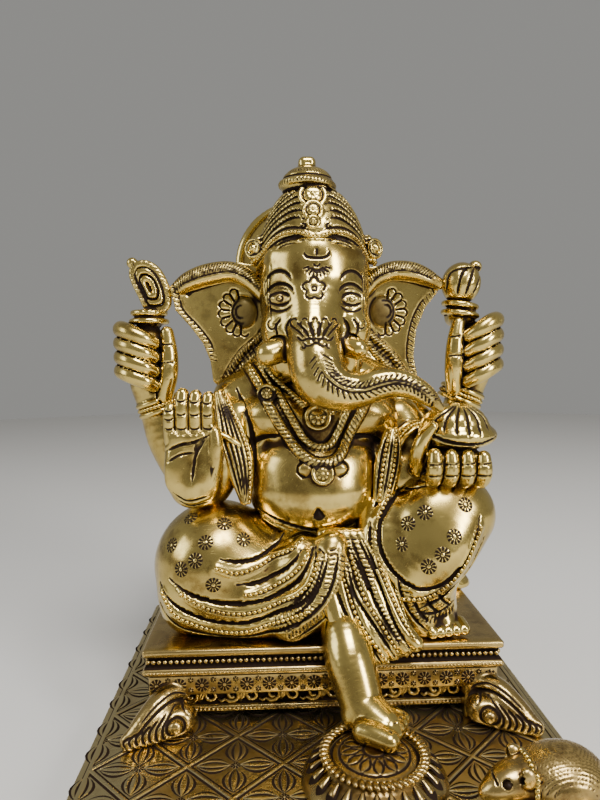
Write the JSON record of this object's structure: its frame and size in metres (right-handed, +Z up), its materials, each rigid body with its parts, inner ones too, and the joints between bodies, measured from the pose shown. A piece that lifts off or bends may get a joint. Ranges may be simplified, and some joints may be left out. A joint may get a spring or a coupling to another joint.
{
  "type": "ganesha idol",
  "caption": "Seated elephant-headed deity in cast brass on a four-footed throne, with one foot on a lotus footrest and a mouse beside it, all standing on an engraved rectangular base plate",
  "frame": {"origin": "middle of the underside of the base, where it stands on a table", "axes": "+Z up; the figure faces -Y; +X is the figure's own left, the side that the trunk turns to"},
  "size_m": [0.138, 0.158, 0.1863],
  "materials": {
    "figure_brass": "lost-wax cast brass, polished on the high spots, with dark brown antiquing left in every groove",
    "throne_brass": "cast brass, satin, with dark antiquing in the stamped and scrolled relief",
    "base_brass": "rolled brass plate, engraved with a lattice of diamonds and lightly brushed",
    "steel": "plain steel screws, out of sight under the plate and under the seat"
  },
  "bodies": {
    "root": {"base_plate": "base_brass", "base_edge_front": "base_brass", "base_edge_back": "base_brass", "base_edge_right": "base_brass", "base_edge_left": "base_brass", "seat_slab": "throne_brass", "apron_front": "throne_brass", "apron_back": "throne_brass", "apron_right": "throne_brass", "apron_left": "throne_brass", "throne_foot_front_right": "throne_brass", "throne_foot_front_left": "throne_brass", "throne_foot_rear_right": "throne_brass", "throne_foot_rear_left": "throne_brass", "lotus_cup": "figure_brass", "lotus_pad": "figure_brass", "mouse": "figure_brass", "hips": "figure_brass", "torso": "figure_brass", "head": "figure_brass", "trunk": "figure_brass", "right_tusk": "figure_brass", "left_tusk": "figure_brass", "right_ear": "figure_brass", "left_ear": "figure_brass", "crown": "figure_brass", "parasol": "figure_brass", "halo": "figure_brass", "halo_stem": "figure_brass", "rear_right_arm": "figure_brass", "rear_right_hand": "figure_brass", "noose": "figure_brass", "rear_left_arm": "figure_brass", "rear_left_hand": "figure_brass", "lotus_bud": "figure_brass", "blessing_arm": "figure_brass", "blessing_hand": "figure_brass", "offering_arm": "figure_brass", "offering_hand": "figure_brass", "sweet": "figure_brass", "right_thigh": "figure_brass", "right_shin": "figure_brass", "raised_knee": "figure_brass", "left_foot": "figure_brass", "pleats": "figure_brass", "cloth_tail": "figure_brass", "right_shawl": "figure_brass", "left_shawl": "figure_brass", "chest_medal": "figure_brass", "garland": "figure_brass", "throne_screws": "steel", "figure_bolts": "steel", "lotus_screw": "steel", "mouse_screw": "steel"}
  },
  "joints": []
}
